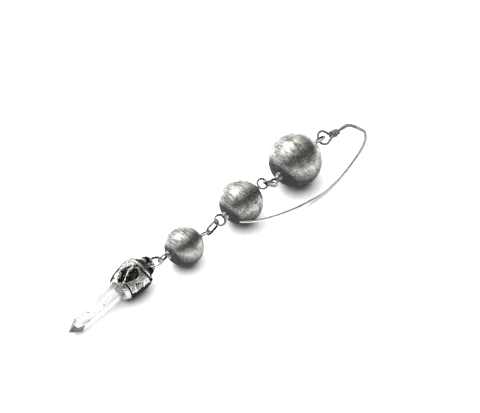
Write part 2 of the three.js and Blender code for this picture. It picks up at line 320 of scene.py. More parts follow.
def silver(name, bright, dark, patina_and_shade_colour, roughness, scratches, wear=(0.3, 0.85)):
    """Worn silver: a dark colour where the stored value is low, which is patina in hollows and
    painted shade where a piece sets it so, patchy tarnish, and crossed scratches.
    """
    material, nodes, links, shader = new_material(name)
    coordinates = nodes.new("ShaderNodeTexCoord")
    shader.inputs["Specular IOR Level"].default_value = 0.05
    strokes = crossed_strokes(nodes, links, coordinates, 3000, BRUSHING, 0.42, 0.58)
    patches = noise_node(nodes, links, coordinates, 420, 9)
    blotches = ramp_node(nodes, links, patches.outputs["Fac"], [(0.34, 0.0), (0.66, 1.0)])
    blend = mix_node(nodes, links, 0.3, strokes, blotches.outputs["Color"])
    tone = ramp_node(nodes, links, blend, [(0.32, dark), (0.66, bright)])
    wear_and_painted_shade = nodes.new("ShaderNodeAttribute")
    wear_and_painted_shade.attribute_name = "wear_and_painted_shade"
    speckle = noise_node(nodes, links, coordinates, 2600, 5)
    edge = nodes.new("ShaderNodeMath")
    edge.operation = "MULTIPLY_ADD"
    links.new(speckle.outputs["Fac"], edge.inputs[0])
    edge.inputs[1].default_value = 0.4
    links.new(wear_and_painted_shade.outputs["Fac"], edge.inputs[2])
    mask = ramp_node(nodes, links, edge.outputs[0], [(wear[0], 0.0), (wear[1], 1.0)])
    deep = nodes.new("ShaderNodeRGB")
    deep.outputs[0].default_value = (*patina_and_shade_colour, 1)
    colour = mix_node(nodes, links, mask.outputs["Color"], deep.outputs[0], tone.outputs["Color"])
    links.new(colour, shader.inputs["Base Color"])
    rough = ramp_node(nodes, links, blend, [(0.2, roughness * 1.35), (0.8, roughness * 0.75)])
    matt = nodes.new("ShaderNodeRGB")
    matt.outputs[0].default_value = (MATT, MATT, MATT, 1)
    roughened = mix_node(nodes, links, mask.outputs["Color"], matt.outputs[0],
                         rough.outputs["Color"])
    links.new(roughened, shader.inputs["Roughness"])
    links.new(mask.outputs["Color"], shader.inputs["Metallic"])
    fine = crossed_strokes(nodes, links, coordinates, 5200, SCRATCHING, 0.42, 0.6)
    bump_node(nodes, links, shader, mix_node(nodes, links, 0.5, strokes, fine), scratches)
    return material


def quartz_material(name, pale, veiled, transmission):
    """Natural quartz: clear, with paler veils where it has healed cracks inside."""
    material, nodes, links, shader = new_material(name)
    coordinates = nodes.new("ShaderNodeTexCoord")
    shader.inputs["IOR"].default_value = 1.54
    shader.inputs["Transmission Weight"].default_value = transmission
    veils = noise_node(nodes, links, coordinates, 300, 7, ((0, 0, 0), (0.5, 1, 1)))
    tone = ramp_node(nodes, links, veils.outputs["Fac"], [(0.40, veiled), (0.56, pale)])
    links.new(tone.outputs["Color"], shader.inputs["Base Color"])
    rough = ramp_node(nodes, links, veils.outputs["Fac"], [(0.35, 0.22), (0.7, 0.04)])
    links.new(rough.outputs["Color"], shader.inputs["Roughness"])
    growth = noise_node(nodes, links, coordinates, 900, 3, ((0, 0, 0), (1, 0.1, 0.1)))
    bump_node(nodes, links, shader, growth.outputs["Fac"], 0.25)
    return material


def matt_material(name, low, high, scale, roughness, alpha=1.0):
    """A plain matt surface, a little uneven in tone: the table, the resin and the flaws."""
    material, nodes, links, shader = new_material(name)
    coordinates = nodes.new("ShaderNodeTexCoord")
    shade = noise_node(nodes, links, coordinates, scale, 4)
    tone = ramp_node(nodes, links, shade.outputs["Fac"], [(0.3, low), (0.7, high)])
    links.new(tone.outputs["Color"], shader.inputs["Base Color"])
    shader.inputs["Roughness"].default_value = roughness
    shader.inputs["Alpha"].default_value = alpha
    return material


SATIN = silver("satin_silver", bright=(0.56, 0.55, 0.515), dark=(0.15, 0.148, 0.14),
               patina_and_shade_colour=(0.04, 0.041, 0.045), roughness=0.34, scratches=0.55)
OXIDISED = silver("oxidised_silver", bright=(0.50, 0.49, 0.47), dark=(0.13, 0.13, 0.14),
                  patina_and_shade_colour=(0.01, 0.01, 0.012), roughness=0.34, scratches=0.35)
WIRE = silver("wire_silver", bright=(0.84, 0.83, 0.81), dark=(0.5, 0.5, 0.49),
              patina_and_shade_colour=(0.012, 0.012, 0.014), roughness=0.26, scratches=0.3)
CAST = silver("cast_silver", bright=(0.74, 0.73, 0.70), dark=(0.34, 0.335, 0.32),
              patina_and_shade_colour=(0.006, 0.006, 0.006), roughness=0.25, scratches=0.5, wear=(0.52, 0.82))
QUARTZ = quartz_material("clear_quartz", pale=(0.79, 0.795, 0.79), veiled=(0.56, 0.565, 0.56),
                         transmission=0.85)
# Painted reflection: the dark reflections seen in alternate facets of the point.
PAINTED_REFLECTION_FACETS = quartz_material("painted_reflection_facets", pale=(0.11, 0.113, 0.11),
                        veiled=(0.055, 0.057, 0.055), transmission=0.3)
EDGE = quartz_material("quartz_edges", pale=(0.66, 0.665, 0.66), veiled=(0.45, 0.453, 0.45),
                       transmission=0.3)
RESIN = matt_material("clear_resin", low=0.78, high=0.9, scale=900, roughness=0.3)
FLAW = matt_material("quartz_flaw", low=0.1, high=0.35, scale=1500, roughness=0.5, alpha=0.8)
FLOOR = matt_material("table_top", low=0.86, high=0.9, scale=14, roughness=0.6)


# ------------------------------------------------------------------ camera, light and table
CAMERA_AZIMUTH = 46  # degrees from +Y towards +X that the camera looks along
CAMERA_DROP = 45  # degrees below level
CAMERA_DISTANCE = 0.7
CAMERA_LENS = 181.1  # millimetres, on a sensor of CAMERA_SENSOR
CAMERA_SENSOR = 36
CAMERA_LEFT = 0.29 * MM  # how far the camera is off the middle of the medium ball
CAMERA_DOWN = 1.3 * MM


def add_camera():
    """A long lens that looks down at the medium ball, as the photo was taken."""
    azimuth, drop = radians(CAMERA_AZIMUTH), radians(CAMERA_DROP)
    forward = Vector((sin(azimuth) * cos(drop), cos(azimuth) * cos(drop), -sin(drop)))
    right = forward.cross(Vector((0, 0, 1))).normalized()
    up = right.cross(forward)
    middle, _ = ball_sphere("medium_ball")
    data = bpy.data.cameras.new("camera")
    data.lens = CAMERA_LENS
    data.sensor_width = CAMERA_SENSOR
    camera = bpy.data.objects.new("camera", data)
    place = middle - CAMERA_DISTANCE * forward - CAMERA_LEFT * right - CAMERA_DOWN * up
    camera.matrix_world = Matrix.Translation(place) @ Matrix(
        (right, up, -forward)).transposed().to_4x4()
    bpy.context.scene.collection.objects.link(camera)
    bpy.context.scene.camera = camera


def add_area(name, towards, distance, size, power, in_gloss=True):
    """A round soft light that shines on the earring from one side."""
    data = bpy.data.lights.new(name, "AREA")
    data.shape = "DISK"
    data.size = size
    data.energy = power
    light = bpy.data.objects.new(name, data)
    light.location = distance * towards.normalized()
    light.visible_camera = False
    light.visible_glossy = in_gloss
    light.rotation_euler = towards.to_track_quat("Z", "Y").to_euler()
    bpy.context.scene.collection.objects.link(light)


WINDOW_SIDE = Vector((0, 0.82, 0.57))  # the room is bright on this side
ROOM_TONES = [(0.30, 0.5), (0.38, 0.05), (0.58, 0.07), (0.70, 0.7), (0.82, 1.15), (0.93, 1.5)]


def add_room():
    """The room that the silver reflects, from the side away from the window to the window's."""
    world = bpy.data.worlds.new("room")
    bpy.context.scene.world = world
    world.use_nodes = True
    nodes, links = world.node_tree.nodes, world.node_tree.links
    background = nodes["Background"]
    coordinates = nodes.new("ShaderNodeTexCoord")
    side = nodes.new("ShaderNodeVectorMath")
    side.operation = "DOT_PRODUCT"
    side.inputs[1].default_value = WINDOW_SIDE
    links.new(coordinates.outputs["Generated"], side.inputs[0])
    spread = nodes.new("ShaderNodeMath")
    spread.operation = "MULTIPLY_ADD"
    spread.inputs[1].default_value = 0.5
    spread.inputs[2].default_value = 0.5
    links.new(side.outputs["Value"], spread.inputs[0])
    ramp = ramp_node(nodes, links, spread.outputs[0], ROOM_TONES)
    links.new(ramp.outputs["Color"], background.inputs["Color"])
    background.inputs["Strength"].default_value = 1.0


TABLE_REACH = 3.0
TABLE_GAP = 0.02 * MM  # keeps the table's top off the pieces that rest on it


def add_table():
    """A pale table top under the earring."""
    reach = TABLE_REACH
    corners = [(-reach, -reach, 0), (reach, -reach, 0), (reach, reach, 0), (-reach, reach, 0)]
    table = make_mesh("table", (np.array(corners), [(0, 1, 2, 3)]), FLOOR, smooth=False)
    table.location.z = -TABLE_GAP


add_camera()
add_area("window", Vector((-0.1, 0.545, 0.825)), distance=1.3, size=0.8, power=8)
add_area("ceiling", Vector((0.05, 0.2, 1)), distance=1.5, size=3.0, power=62, in_gloss=False)
add_room()
add_table()
bpy.context.scene.view_settings.view_transform = "Standard"


# ------------------------------------------------------------------ balls
# Aims are (yaw, pitch) and rolls are in degrees. Reaches and radii are in millimetres.
BALLS = {
    "big_ball": {
        "axis": (1.5, 3.5),
        "top": {"aim": (1.5, 3.5), "roll": -40, "reach": 11.05, "radius": 1.5},
        "bottom": {"aim": (8, 1.1), "roll": -20, "reach": 11.15, "radius": 1.35},
    },
    "medium_ball": {
        "axis": (1, 5.5),
        "top": {"aim": (4, 1), "roll": 33, "reach": 9.65, "radius": 1.6},
        "bottom": {"aim": (1, 5.5), "roll": 30, "reach": 9, "radius": 1.65},
    },
    "small_ball": {
        "axis": (-3, -3),
        "top": {"aim": (-3, -3), "roll": -42, "reach": 8, "radius": 1.5},
        "bottom": {"aim": (-6, -2.5), "roll": -76, "reach": 7.9, "radius": 1.45},
    },
}
WIRE_RADIUS = 0.35 * MM
SHELL_WALL = 0.45 * MM
SEAM = 0.02 * MM  # half the gap that the solder fills
SEAM_DIP = 0.05 * MM
SEAM_WIDTH = 0.22 * MM
DOME_RINGS = 56
DOME_SIDES = 128
WALL_STEP = 8  # the inside has one ring for each of these outside


def half_shell(name, ball, sign):
    """A dapped half ball: a slightly uneven dome with a wall, and a soldered seam at its rim."""
    centre, radius = ball_sphere(ball)
    outer, inner = [], []
    for i in range(DOME_RINGS + 1):
        angle = pi / 2 * i / DOME_RINGS
        from_rim = radius * (pi / 2 - angle)
        dip = SEAM_DIP * max(0, 1 - from_rim / SEAM_WIDTH)
        outer.append(((radius - dip) * sin(angle), max((radius - dip) * cos(angle), SEAM)))
    hollow = radius - SHELL_WALL
    for i in range(DOME_RINGS, -1, -WALL_STEP):
        angle = pi / 2 * i / DOME_RINGS
        inner.append((hollow * sin(angle), max(hollow * cos(angle), SEAM)))
    place = rolled_frame(sign * direction(*BALLS[ball]["axis"]), 0, centre)
    verts, faces = placed(lathe(outer + inner, DOME_SIDES), place)
    dented = wobble(verts, 0.08 * MM, 150, radius / MM)
    dented = wobble(dented, 0.02 * MM, 700, 3)
    pull = dented - np.array(centre)
    far = np.linalg.norm(pull, axis=1)
    limit = radius * 1.001
    dented = np.array(centre) + pull * np.minimum(1, limit / far)[:, None]
    # Patina stays round the pole, where the eyelet is soldered on. Below that the ball is darkened
    # as painted shade: darker towards the bottom, by height over the table, and most towards the
    # lower shell's pole.
    pole = np.array(place.col[2][:3])
    lift = (verts - np.array(centre)) @ pole / radius
    start = 0.92 if sign > 0 else 0.76
    pole_tarnish_and_painted_shade = 0.6 * np.clip((lift - start) / 0.22, 0, 1)
    # painted shade: darker towards the bottom of the ball, by height over the table
    pole_tarnish_and_painted_shade += (0.92 - 0.45 * sign * lift) * np.clip(1.24 - 0.8 * dented[:, 2] / radius, 0, 1)
    wear_and_painted_shade = np.clip(0.8 - pole_tarnish_and_painted_shade, 0.12, 1)
    return make_mesh(name, (dented, faces), SATIN, wear_and_painted_shade)


RING_STEPS = 64
FOOT_GAP = 0.02 * MM
SHANK_RADIUS = 0.4 * MM
SHANK_DEPTH = 1.1 * MM  # how far the shank goes into the ball
SHANK_OVERLAP = 0.3 * MM
NECK_OVERLAP = 0.25 * MM
FILLET_VOXEL = 0.07 * MM


def eyelet(name, ball, end, sign):
    """A wire ring soldered on a small collar, with the fillet that the solder leaves."""
    centre, radius = ball_sphere(ball)
    reach, ring_radius = end["reach"] * MM, end["radius"] * MM
    place = rolled_frame(sign * direction(*end["aim"]), end["roll"], centre)
    turns = [2 * pi * i / RING_STEPS for i in range(RING_STEPS)]
    ring = [(ring_radius * cos(a), 0, reach + ring_radius * sin(a)) for a in turns]
    wire = tube(ring, WIRE_RADIUS, WIRE_RADIUS, (0, 1, 0), closed=True)
    foot, neck = radius + FOOT_GAP, reach - ring_radius
    height = neck - foot
    collar = lathe([(0, foot), (1.25 * MM, foot), (1.2 * MM, foot + 0.12 * height),
                    (0.8 * MM, foot + 0.45 * height), (0.62 * MM, foot + 0.8 * height),
                    (0.55 * MM, neck + NECK_OVERLAP), (0, neck + NECK_OVERLAP)], 32)
    inside, top = radius - SHANK_DEPTH, foot + SHANK_OVERLAP
    shank = lathe([(0, inside), (SHANK_RADIUS, inside), (SHANK_RADIUS, top), (0, top)], 20)
    made = make_mesh(name, placed(merged(wire, collar, shank), place), OXIDISED)
    fuse(made, FILLET_VOXEL, 3)
    middle = np.array(place @ Vector((0, 0, reach)))
    add_worn(made, lambda co: np.clip(
        0.25 + 0.55 * (np.linalg.norm(co - middle, axis=1) - ring_radius + WIRE_RADIUS * 0.4)
        / WIRE_RADIUS, 0, 1))
    return made


for ball, ends in BALLS.items():
    for half, end_name, sign in (("upper", "top", 1), ("lower", "bottom", -1)):
        shell = half_shell(f"{ball}_{half}_dome", ball, sign)
        piece(shell, ball, "satin_silver", f"{ball}_{half}_shell")
        ring = eyelet(f"{ball}_{end_name}_loop", ball, ends[end_name], sign)
        piece(ring, ball, "oxidised_silver", f"{ball}_{end_name}_eyelet")


# ------------------------------------------------------------------ links
PAINTED_SHADE_SIDE = Vector((0.45, 0.45, 0.77))  # the side of the rings that is darkened as painted shade
CUT_GAP = 0.05 * MM
CUT_OFFSET = 0.03 * MM  # how far each sawn end stands aside
RING_POINTS = 97


def ring_tip(ball, end, sign):
    """The far point of an eyelet, where the next ring hooks in."""
    centre, _ = ball_sphere(ball)
    return centre + sign * direction(*end["aim"]) * (end["reach"] + end["radius"]) * MM


def cut_ring(name, radius, wire, place, cut_at, material):
    """A jump ring: a round wire bent into a circle, with its two sawn ends just touching."""
    gap = CUT_GAP / radius
    angles = np.linspace(cut_at + gap, cut_at + 2 * pi - gap, RING_POINTS)
    path = np.array([(radius * cos(a), 0, radius * sin(a)) for a in angles])
    path[:, 1] += CUT_OFFSET * np.linspace(-1, 1, RING_POINTS)
    shape = placed(tube(path, wire, wire, (0, 1, 0)), place)
    middle = np.array(place.translation)
    far = np.linalg.norm(shape[0] - middle, axis=1)
    # Painted shade: the ring is darkened on the side set above; the inside of the wire keeps its
    # patina.
    upper = (shape[0] - middle) @ np.array(PAINTED_SHADE_SIDE) / radius
    wear_and_painted_shade = np.clip(0.5 + 0.4 * (far - radius) / wire - 0.4 * upper, 0, 1)
    return make_mesh(name, (wobble(shape[0], 0.01 * MM, 600), shape[1]), material, wear_and_painted_shade)


UPPER_NORMAL = Vector((0.788, 0.398, 0.47))
UPPER_RADIUS = 1.95 * MM


def upper_ring():
    """The jump ring between the big ball and the medium ball."""
    low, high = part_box("upper_jump_ring")
    normal = UPPER_NORMAL.normalized()
    side = normal.cross(Vector((0, 0, 1))).normalized()
    place = Matrix((side, normal, side.cross(normal))).transposed().to_4x4()
    place.translation = (low + high) / 2
    made = cut_ring("upper_jump_ring_wire", UPPER_RADIUS, WIRE_RADIUS, place, 2.2, OXIDISED)
    piece(made, "upper_jump_ring", "oxidised_silver", "upper_jump_ring")


OVAL_END_RADIUS = 1.3 * MM
OVAL_HALF_STRAIGHT = 1.3 * MM
OVAL_ROLL = 84
OVAL_ARC_STEPS = 16


def oval_link():
    """The closed oval between the medium ball and the small ball, made brighter on its upper side
    and darker on its lower as painted light and shade.
    """
    tip_a = ring_tip("medium_ball", BALLS["medium_ball"]["bottom"], -1)
    tip_b = ring_tip("small_ball", BALLS["small_ball"]["top"], 1)
    place = rolled_frame(tip_b - tip_a, OVAL_ROLL, (tip_a + tip_b) / 2)
    path = []
    for sign in (1, -1):
        for i in range(OVAL_ARC_STEPS + 1):
            a = pi * i / OVAL_ARC_STEPS
            path.append((sign * OVAL_END_RADIUS * cos(a), 0,
                         sign * (OVAL_HALF_STRAIGHT + OVAL_END_RADIUS * sin(a))))
    path = smooth_path(path, 120, closed=True)
    shape = placed(tube(path, WIRE_RADIUS, WIRE_RADIUS, (0, 1, 0), closed=True), place)
    # Painted light and shade: lighter towards the top, darker towards the bottom.
    wear_and_painted_shade = np.clip(0.35 + 0.5 * (shape[0][:, 2] - place.translation.z) / (1.5 * MM), 0.1, 0.9)
    made = make_mesh("oval_link_wire", (wobble(shape[0], 0.02 * MM, 600), shape[1]),
                     OXIDISED, wear_and_painted_shade)
    piece(made, "oval_link", "oxidised_silver", "oval_link")


LOWER_ALONG = Vector((-0.9, 0.36, -0.12)).normalized()
LOWER_RADIUS = 2.3 * MM
LOWER_WIRE_RADIUS = 0.38 * MM
LOWER_SLACK = 0.98 * MM
LOWER_ROLL = -17.4


def lower_ring_frame():
    """Z along the pull between the small ball and the pendant, from the ring's middle."""
    tip = ring_tip("small_ball", BALLS["small_ball"]["bottom"], -1)
    return rolled_frame(LOWER_ALONG, LOWER_ROLL, tip + LOWER_ALONG * (LOWER_RADIUS - LOWER_SLACK))


def lower_ring():
    """The jump ring between the small ball and the pendant."""
    made = cut_ring("lower_jump_ring_wire", LOWER_RADIUS, LOWER_WIRE_RADIUS, lower_ring_frame(),
                    0.4, WIRE)
    piece(made, "lower_jump_ring", "cast_silver", "lower_jump_ring")


upper_ring()
oval_link()
lower_ring()

# ------------------------------------------------------------------ ear wire
# The hook's sizes are in millimetres, in its own plane, and its angles are in degrees.
HOOK_NORMAL = Vector((0.069, -0.649, 0.757)).normalized()
HOOK_ROUTE = [  # from the wrap over the top to the tip
    (-7.1, 1.9), (-10.3, 2.8), (-12.8, 6.3), (-13.3, 7.6), (-12.1, 9.1), (-10.1, 10.1),
    (-6, 11), (1.95, 11.9), (8.6, 12), (13.5, 11.55), (20.05, 10), (25.3, 8.4), (33.3, 5.2),
    (37.8, 2.9), (42, 0),
]
HOOK_LOOP_MIDDLE = Vector((43.79, 1.54, 8.47)) * MM
HOOK_ALONG = Vector((-0.99, -0.137, -0.027))
LOOP_RADIUS = 2.05
LOOP_SIDES = (46, 78, 110, 145, 180, 215, 250, 282, 314)
NECK_ANGLE = 162
NECK_START = 2.9
WRAP_TURNS = 3
WRAP_PITCH = 0.86
WRAP_RADIUS = 0.84
WRAP_LEAD = 0.6  # in radians
WRAP_POINTS = 10


def hook_points():
    """The wire's route in the hook's own axes, from the tip to the end of the wrap."""
    along = Vector((cos(radians(NECK_ANGLE)), sin(radians(NECK_ANGLE)), 0))
    across = Vector((-along.y, along.x, 0))
    points = [Vector((u, v, 0)) for u, v in reversed(HOOK_ROUTE)]
    points += [along * (NECK_START + WRAP_TURNS * WRAP_PITCH), along * NECK_START]
    for degrees in LOOP_SIDES:
        angle = radians(degrees)
        lift = WRAP_RADIUS * 0.5 * max(0, degrees - 180) / 180
        points.append(along * LOOP_RADIUS * cos(angle) + across * LOOP_RADIUS * sin(angle)
                      + Vector((0, 0, lift)))
    for i in range(WRAP_TURNS * WRAP_POINTS + 1):
        turn = 2 * pi * i / WRAP_POINTS - WRAP_LEAD
        points.append(along * (NECK_START + WRAP_PITCH * i / WRAP_POINTS)
                      - across * WRAP_RADIUS * cos(turn) - Vector((0, 0, WRAP_RADIUS * sin(turn))))
    return points


def ear_wire():
    """One length of wire: the leg, the hammered bend, the loop and the wrap round its own neck."""
    u = (HOOK_ALONG - HOOK_ALONG.dot(HOOK_NORMAL) * HOOK_NORMAL).normalized()
    plane = Matrix((u, HOOK_NORMAL.cross(u), HOOK_NORMAL)).transposed().to_4x4()
    plane.translation = HOOK_LOOP_MIDDLE
    path = smooth_path(hook_points(), 620) * MM
    route = np.concatenate([[0], np.cumsum(np.linalg.norm(np.diff(path, axis=0), axis=1))]) / MM
    # From the tip: filed end, slim leg, hammered bend, then plain round wire to the wrap's end.
    stations = (0, 0.5, 4, 20, 36, 46, 58, 62, 66, 70, 74, 200)
    across = (0.18, 0.29, 0.36, 0.40, 0.43, 0.52, 0.56, 0.62, 0.60, 0.46, 0.4, 0.4)
    raised = (0.18, 0.28, 0.34, 0.38, 0.38, 0.34, 0.30, 0.26, 0.27, 0.36, 0.4, 0.4)
    verts, faces = tube(path, np.interp(route, stations, across) * MM,
                        np.interp(route, stations, raised) * MM, (0, 0, 1))
    shine = np.interp(route, (0, 30, 48, 54, 62, 70, 200), (1, 0.95, 0.8, 0.4, 0.28, 0.2, 0.22))
    wear_and_painted_shade = np.repeat(shine, WIRE_SIDES)
    verts = wobble(verts, 0.05 * MM, 350)
    made = make_mesh("ear_wire_wire", placed((verts, faces), plane), WIRE, wear_and_painted_shade)
    piece(made, "ear_wire", "wire_silver", "ear_wire")


ear_wire()

# ------------------------------------------------------------------ pendant
# Sizes without MM are in millimetres, in the pendant's own axes.
BAIL_Z = 6
FACE_ROLL = 34  # degrees that the face leans up from level
PENDANT_DOWN = Vector((-1, -0.01, -0.127))


def pendant_frame():
    """Z up the drop and X the way the skull looks, with z = 0 at the middle of the cap."""
    up = -PENDANT_DOWN.normalized()
    face = Vector((0, cos(radians(FACE_ROLL)), sin(radians(FACE_ROLL))))
    x = (face - face.dot(up) * up).normalized()
    hang = lower_ring_frame().translation + LOWER_ALONG * LOWER_RADIUS
    place = Matrix((x, up.cross(x), up)).transposed().to_4x4()
    place.translation = hang - up * BAIL_Z * MM
    return place


PENDANT = pendant_frame()
CAP_PROFILE = ((0, 5.1), (1.6, 4.95), (3.4, 4.4), (4.5, 3.5), (4.85, 2), (4.8, 0.2),
               (4.6, -2), (4.3, -3.6), (3.95, -4.6), (3.45, -5.6))
CAP_ROWS, CAP_COLUMNS = 230, 400
CAP_LIMIT = 5.02  # the furthest that the cast skin comes out
BORE_RADIUS, BORE_TOP = 2.75, -1.5
FACET_TURN = 30  # degrees round the dome for each facet
DOME_FOOT = 2.9  # the height above which the facets start
SKIN_ARC = radians(1) * 4.9  # millimetres round the skin for each degree of turn

# Outlines and lines on one side of the face, as (degrees round from the nose, height).
EYE_SOCKET = ((62, -0.1), (66, 0.75), (76, 1.2), (88, 0.85), (98, 0.35), (101, -0.9),
              (96, -2.3), (88, -3.8), (80, -4.15), (73, -2.9), (68, -1.4))
MOUTH = ((37, -2.8), (44, -1.75), (56, -0.6), (61, -1.7), (68, -2.8), (76, -4.1), (74, -4.7),
         (66, -5.1), (56, -4.95), (50, -4.4))
NOSE_RIDGE = ((56, 1.5), (62, 0.4), (59, -0.8), (66, -1.9), (69, -2.8), (77, -3.5), (80, -4.5))
FOREHEAD = ((14, -1.5), (8, 1), (34, 2), (50, 1.5), (50, 0.1), (33, -1.9))
BROW_GROOVE = ((34, -2.6), (44, -1.25), (55, 0.75), (70, 1.6))
BROW_EDGE = ((70, 1.4), (102, 1.45), (154, 2.3))
DOME_GROOVE = ((66, 2), (102, 2.1), (154, 2.95))
DOME_EDGE = ((46, 2.4), (82, 2.7), (104, 2.85), (154, 3.6))
LIP = ((26, -3.2), (26, -4.7), (40, -5.2), (58, -5.2), (49, -4.5), (41, -3.6))
CHEEK = ((102, 0.6), (105, -1.5), (113, -1.6), (127, 0.3), (146, 1.7), (104, 1.2))
JAW_PANEL = ((104, -3.75), (110, -2), (138, -2.5), (142, -3.9))
JAW_SEAM = ((92, -4.1), (124, -4.15), (174, -4.05))
COLLAR_SEAM = ((0, -4.5), (60, -5.2), (78, -4.6), (92, -4.1))
PIT_RADIUS = 0.16
HATCH_LINES = 4
TEETH = 3


def distance_to(turn, z, points):
    """How far each place on the skin is from a line through the points, in millimetres."""
    best = np.full(turn.shape, 99.0)
    for (t0, z0), (t1, z1) in zip(points, points[1:]):
        a, b = np.array([t0 * SKIN_ARC, z0]), np.array([t1 * SKIN_ARC, z1])
        p = np.stack([turn * SKIN_ARC, z], axis=-1) - a
        k = np.clip((p @ (b - a)) / max((b - a) @ (b - a), 1e-9), 0, 1)
        best = np.minimum(best, np.linalg.norm(p - k[..., None] * (b - a), axis=-1))
    return best


def stroke_at(turn, z, points, half_width):
    """1 along a line drawn over the skin, and 0 away from it."""
    return np.exp(-((distance_to(turn, z, points) / half_width) ** 2))


def area_at(turn, z, outline, softness):
    """1 inside an outline drawn on the skin, and 0 outside it."""
    closed = outline + outline[:1]
    inside = np.zeros(turn.shape, bool)
    for (t0, z0), (t1, z1) in zip(closed, closed[1:]):
        if z0 != z1:
            crossed = (z0 > z) != (z1 > z)
            inside ^= crossed & (turn < t0 + (z - z0) * (t1 - t0) / (z1 - z0))
    far = distance_to(turn, z, closed)
    return np.clip(0.5 + np.where(inside, far, -far) / softness, 0, 1)


def pits_at(turn, z, first, across, down, counts):
    """1 in each of a grid of small pits."""
    pits = np.zeros(turn.shape)
    for i in range(counts[0]):
        for j in range(counts[1]):
            spot = (first[0] + i * across[0] + j * down[0], first[1] + i * across[1] + j * down[1])
            pits = np.maximum(pits, stroke_at(turn, z, (spot, spot), PIT_RADIUS))
    return pits


def skull_relief(turn, z):
    """How far the skull's skin stands out of the turned cap, in millimetres, at each point."""
    side = np.abs(turn)  # both sides of the face are alike
    relief = 0.22 * area_at(side, z, FOREHEAD, 0.3)
    relief += 0.3 * area_at(side, z, LIP, 0.25)
    relief += 0.12 * area_at(side, z, CHEEK, 0.25) + 0.12 * area_at(side, z, JAW_PANEL, 0.2)
    socket = area_at(side, z, EYE_SOCKET, 0.28)
    mouth = area_at(side, z, MOUTH, 0.2)
    lining = 0.07 * np.sin(side)
    relief -= (1.05 + lining) * socket + (1.15 + lining) * mouth
    relief -= 0.85 * stroke_at(side, z, BROW_GROOVE, 0.24)
    relief -= 0.65 * stroke_at(side, z, DOME_GROOVE, 0.24)
    relief += 0.4 * stroke_at(side, z, BROW_EDGE, 0.22) + 0.3 * stroke_at(side, z, DOME_EDGE, 0.2)
    for groove in range(HATCH_LINES):
        line, level = 114 + 4.5 * groove, -1.75 + 0.6 * groove
        relief -= 1.1 * stroke_at(side, z, [(line, level), (line + 19, level - 0.45)], 0.15)
    relief -= 0.3 * pits_at(side, z, (103, 0.5), (5, 0.15), (2, -0.55), (3, 4))
    relief -= 0.3 * pits_at(side, z, (109, -2.8), (7, -0.08), (-1.5, -0.5), (4, 2))
    relief -= 0.8 * stroke_at(side, z, JAW_SEAM, 0.17)
    relief -= 0.4 * stroke_at(side, z, COLLAR_SEAM, 0.14)
    ridge = stroke_at(side, z, NOSE_RIDGE, 0.27)
    for tooth in range(TEETH):
        line, level = 37 + 4 * tooth, -3.1 - 0.62 * tooth
        crown = stroke_at(side, z, [(line, level), (line + 11, level + 0.3)], 0.17)
        ridge = np.maximum(ridge, crown)
    return relief * (1 - ridge) + 0.15 * ridge


def dark_places(turn, z, facets):
    """Where the cap is darker: patina in the dome's facets, painted shade down the back of the
    head, which turns down to the table, darker over the forehead and on the front of the face,
    most low down, and less dark low on the polished collar.
    """
    side = np.abs(turn)
    dome = np.clip((z - DOME_FOOT) / 0.25, 0, 1) * (0.4 + 0.9 * facets)
    # Painted shade: the back of the head, which turns down towards the table, is darkened.
    back = np.clip((side - 142) / 9, 0, 1) * np.clip((z + 4.1) / 0.3, 0, 1)
    front = np.clip((27 - side) / 5, 0, 1) * (0.2 + 0.35 * np.clip(-1.5 - z, 0, 1))
    polished = 0.15 * np.clip((-4.4 - z) / 0.2, 0, 1) * np.clip((side - 60) / 15, 0, 1)
    return np.maximum(dome, back * 0.8) + 0.3 * area_at(side, z, FOREHEAD, 0.9) + front - polished


RESTS_AT = 0.03 * MM  # worn flat where the cap lies on the table


